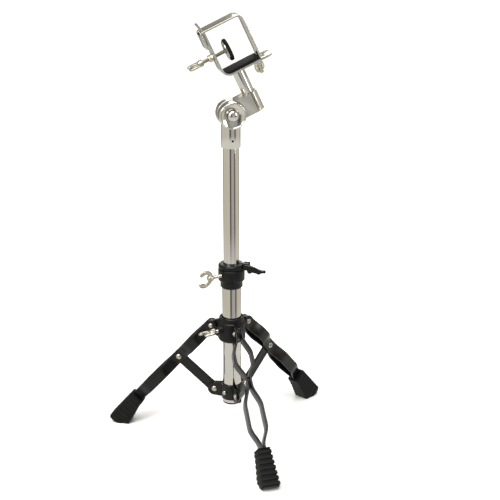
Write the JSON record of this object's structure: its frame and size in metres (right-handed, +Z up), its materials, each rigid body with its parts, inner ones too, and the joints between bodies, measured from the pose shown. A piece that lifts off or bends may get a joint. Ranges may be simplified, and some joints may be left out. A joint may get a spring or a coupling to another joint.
{
  "type": "folding percussion tripod stand",
  "caption": "Folding tripod stand for a small drum pair, with double-strip braced legs, a telescoping chromed column with memory lock, a disc tilter and a hooked screw clamp.",
  "frame": {"origin": "on the floor, under the middle of the footprint's bounding box", "axes": "+Z up along the column, -Y the front, where the front foot and the tilter's bolt head face; the head leans to -X"},
  "size_m": [0.3714, 0.3375, 0.6761],
  "materials": {
    "chrome_tube": "bright nickel-chrome plated steel tube",
    "chrome_casting": "chrome plated casting",
    "nickel_sheet": "nickel plated strip steel",
    "nickel_hardware": "nickel plated wing bolts, screws and rivets",
    "black_strip": "glossy black enamelled steel strip",
    "black_moulding": "satin black moulded nylon",
    "black_rubber": "matte black rubber",
    "grey_acetal": "grey acetal"
  },
  "bodies": {
    "root": {"base_tube": "chrome_tube", "tube_end_plug": "black_rubber", "bracket_plate_1": "black_strip", "bracket_plate_2": "black_strip", "bracket_plate_3": "black_strip", "bracket_screw_1": "nickel_hardware", "bracket_screw_2": "nickel_hardware", "bracket_screw_3": "nickel_hardware", "front_bracket_rivet": "nickel_hardware", "right_bracket_rivet": "nickel_hardware", "left_bracket_rivet": "nickel_hardware", "height_clamp_body": "black_moulding", "height_clamp_bush": "black_moulding"},
    "height_wing": {"height_wing_screw": "nickel_hardware"},
    "leg_collar": {"leg_collar_body": "black_moulding", "leg_collar_bush": "black_moulding", "front_collar_rivet": "nickel_hardware", "right_collar_rivet": "nickel_hardware", "left_collar_rivet": "nickel_hardware"},
    "leg_collar_wing": {"leg_collar_wing_screw": "nickel_hardware"},
    "front_leg": {"front_leg_strip_a": "black_strip", "front_leg_strip_b": "black_strip", "front_brace_rivet": "nickel_hardware", "front_foot": "black_rubber"},
    "front_brace_arm": {"front_brace": "black_strip"},
    "right_leg": {"right_leg_strip_a": "black_strip", "right_leg_strip_b": "black_strip", "right_brace_rivet": "nickel_hardware", "right_foot": "black_rubber"},
    "right_brace_arm": {"right_brace": "black_strip"},
    "left_leg": {"left_leg_strip_a": "black_strip", "left_leg_strip_b": "black_strip", "left_brace_rivet": "nickel_hardware", "left_foot": "black_rubber"},
    "left_brace_arm": {"left_brace": "black_strip"},
    "tube_guide": {"upper_tube_guide": "grey_acetal"},
    "column": {"upper_tube": "chrome_tube", "tilter_socket": "chrome_casting", "socket_pin": "black_strip"},
    "memory_lock": {"memory_lock_ring": "black_moulding"},
    "lock_lever": {"memory_lock_lever": "black_moulding"},
    "head": {"tilter_friction_washer": "grey_acetal", "tilter_arm": "chrome_casting", "tilter_bolt": "chrome_casting", "tilter_washer": "nickel_sheet", "head_post": "chrome_tube", "clamp_frame": "nickel_sheet", "clamp_gate": "nickel_sheet", "gate_stud": "nickel_sheet", "clamp_pad": "black_rubber", "pressure_nut": "nickel_sheet"},
    "tilter_nut": {"tilter_wing_nut": "nickel_hardware"},
    "gate_nut": {"gate_wing_nut": "nickel_hardware"},
    "pressure_head": {"pressure_plate": "nickel_sheet", "pressure_pad": "black_rubber"},
    "pressure_screw": {"pressure_screw": "nickel_hardware"}
  },
  "joints": [
    {"name": "collar_slide", "type": "slide", "parent": "root", "child": "leg_collar", "axis": [0, 0, 1], "range_m": [-0.008, 0.04]},
    {"name": "front_leg_fold", "type": "hinge", "parent": "leg_collar", "child": "front_leg", "pos_m": [0.01067, 0.00594, 0.1856], "axis": [0.9963, 0.0854, 0], "range_deg": [-5.2, 25.2]},
    {"name": "front_brace_fold", "type": "hinge", "parent": "root", "child": "front_brace_arm", "pos_m": [0.0103, 0.01022, 0.0753], "axis": [0.9963, 0.0854, 0], "range_deg": [-27.8, 5.7]},
    {"name": "right_leg_fold", "type": "hinge", "parent": "leg_collar", "child": "right_leg", "pos_m": [0.03499, 0.05786, 0.1856], "axis": [-0.5721, 0.8202, 0], "range_deg": [-5.2, 25.2]},
    {"name": "right_brace_fold", "type": "hinge", "parent": "root", "child": "right_brace_arm", "pos_m": [0.03146, 0.0554, 0.0753], "axis": [-0.5721, 0.8202, 0], "range_deg": [-27.8, 5.7]},
    {"name": "left_leg_fold", "type": "hinge", "parent": "leg_collar", "child": "left_leg", "pos_m": [-0.02213, 0.05296, 0.1856], "axis": [-0.4242, -0.9056, 0], "range_deg": [-5.2, 25.2]},
    {"name": "left_brace_fold", "type": "hinge", "parent": "root", "child": "left_brace_arm", "pos_m": [-0.01824, 0.05114, 0.0753], "axis": [-0.4242, -0.9056, 0], "range_deg": [-27.8, 5.7]},
    {"name": "height_wing_turn", "type": "hinge", "parent": "root", "child": "height_wing", "pos_m": [-0.01967, 0.02696, 0.2747], "axis": [-0.9171, -0.3987, 0], "range_deg": [0, 450]},
    {"name": "leg_collar_wing_turn", "type": "hinge", "parent": "leg_collar", "child": "leg_collar_wing", "pos_m": [-0.01967, 0.02696, 0.1835], "axis": [-0.9171, -0.3987, 0], "range_deg": [0, 450]},
    {"name": "height_slide", "type": "slide", "parent": "root", "child": "tube_guide", "axis": [0, 0, 1], "range_m": [0, 0.115]},
    {"name": "column_swivel", "type": "hinge", "parent": "tube_guide", "child": "column", "pos_m": [0.00784, 0.03892, 0.3], "axis": [0, 0, 1], "range_deg": [-100, 185]},
    {"name": "memory_lock_slide", "type": "slide", "parent": "column", "child": "memory_lock", "axis": [0, 0, 1], "range_m": [0, 0.15]},
    {"name": "memory_lock_lever_turn", "type": "hinge", "parent": "memory_lock", "child": "lock_lever", "pos_m": [0.03063, 0.02994, 0.2883], "axis": [-0.3665, -0.9304, 0], "range_deg": [0, 90]},
    {"name": "tilter_tilt", "type": "hinge", "parent": "column", "child": "head", "pos_m": [0.00784, 0.03892, 0.5283], "axis": [0, 1, 0], "range_deg": [-65, 28]},
    {"name": "tilter_nut_turn", "type": "hinge", "parent": "head", "child": "tilter_nut", "pos_m": [0.00784, 0.06392, 0.5283], "axis": [0, 1, 0], "range_deg": [0, 450]},
    {"name": "gate_nut_turn", "type": "hinge", "parent": "head", "child": "gate_nut", "pos_m": [0.05097, 0.03992, 0.60027], "axis": [0.4226, 0, -0.9063], "range_deg": [0, 450]},
    {"name": "pressure_slide", "type": "slide", "parent": "head", "child": "pressure_head", "axis": [0.9063, 0, 0.4226], "range_m": [-0.015, 0.009]},
    {"name": "pressure_screw_turn", "type": "hinge", "parent": "pressure_head", "child": "pressure_screw", "pos_m": [-0.03858, 0.03992, 0.60419], "axis": [0.9063, 0, 0.4226], "range_deg": [-5400, 3240]}
  ],
  "couplings": [
    {"joint": "front_leg_fold", "follows": "collar_slide", "rad_per_m": 10.857},
    {"joint": "front_brace_fold", "follows": "collar_slide", "rad_per_m": -12.003},
    {"joint": "right_leg_fold", "follows": "collar_slide", "rad_per_m": 10.857},
    {"joint": "right_brace_fold", "follows": "collar_slide", "rad_per_m": -12.003},
    {"joint": "left_leg_fold", "follows": "collar_slide", "rad_per_m": 10.857},
    {"joint": "left_brace_fold", "follows": "collar_slide", "rad_per_m": -12.003},
    {"joint": "pressure_screw_turn", "follows": "pressure_slide", "rad_per_m": 6283.2}
  ]
}
